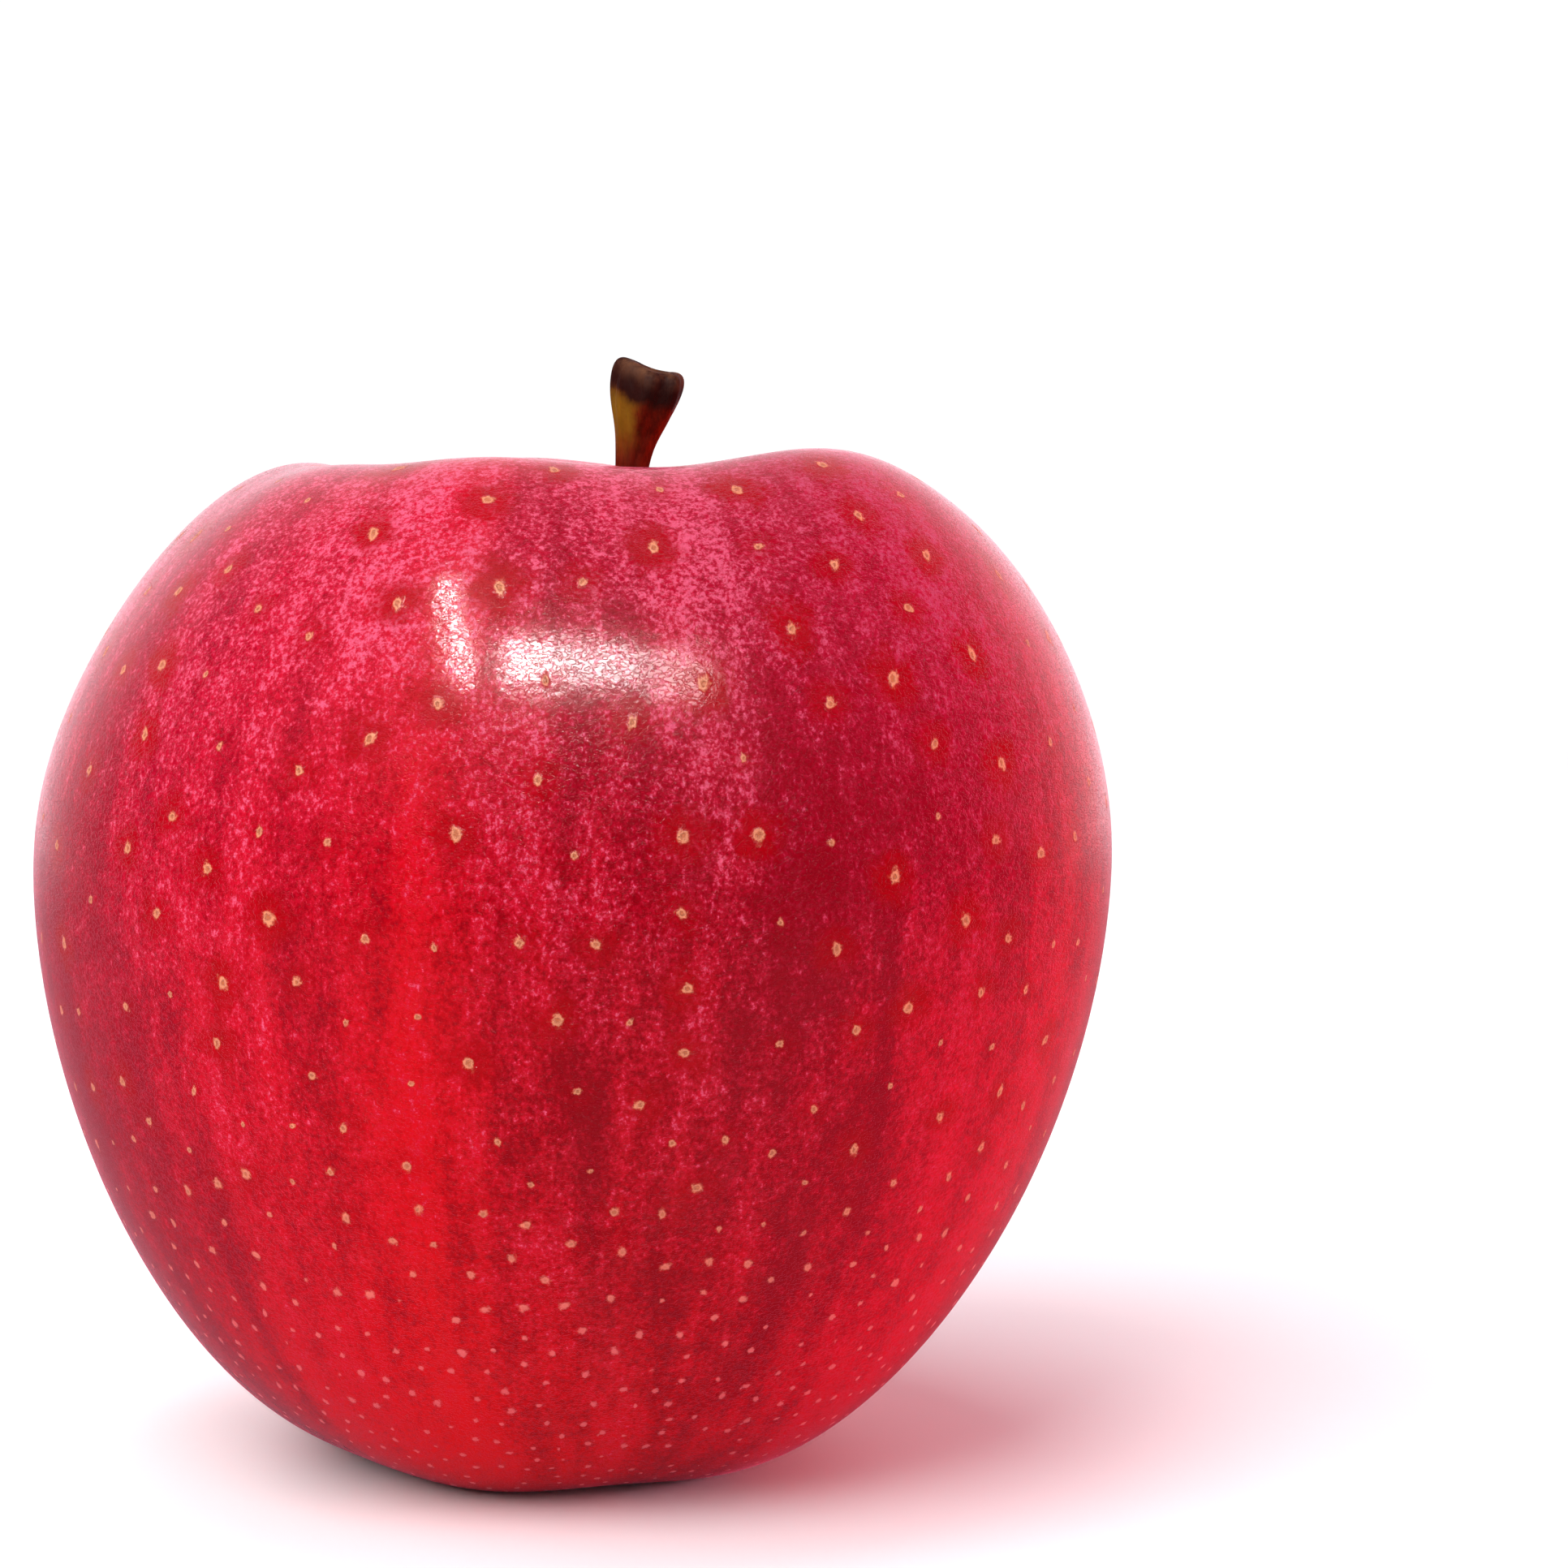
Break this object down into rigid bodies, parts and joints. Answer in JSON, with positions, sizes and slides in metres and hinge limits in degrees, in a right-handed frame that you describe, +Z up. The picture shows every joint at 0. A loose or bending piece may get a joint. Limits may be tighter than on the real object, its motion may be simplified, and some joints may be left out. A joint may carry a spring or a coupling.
{
  "type": "apple",
  "caption": "Ripe red apple with a lobed crown, deep stem cavity with a flared stem, and a calyx with dried sepals, standing on its lobed foot.",
  "frame": {"origin": "on the ground plane, under the middle of the fruit's box", "axes": "+Z up from the calyx end to the stem end, -Y towards the side that carries the highest shoulder, +X towards the side that the stem leans to"},
  "size_m": [0.0762, 0.0742, 0.0782],
  "materials": {
    "skin": "glossy waxy crimson skin with fine pink mottling and pale tan lenticels",
    "stem": "dull brown bark with an olive side and a near-black corky end",
    "sepals": "dry matt brown, slightly downy",
    "stamens": "withered dark brown threads"
  },
  "bodies": {
    "root": {"fruit": "skin", "stem": "stem", "sepal_1": "sepals", "sepal_2": "sepals", "sepal_3": "sepals", "sepal_4": "sepals", "sepal_5": "sepals", "stamens": "stamens"}
  },
  "joints": []
}
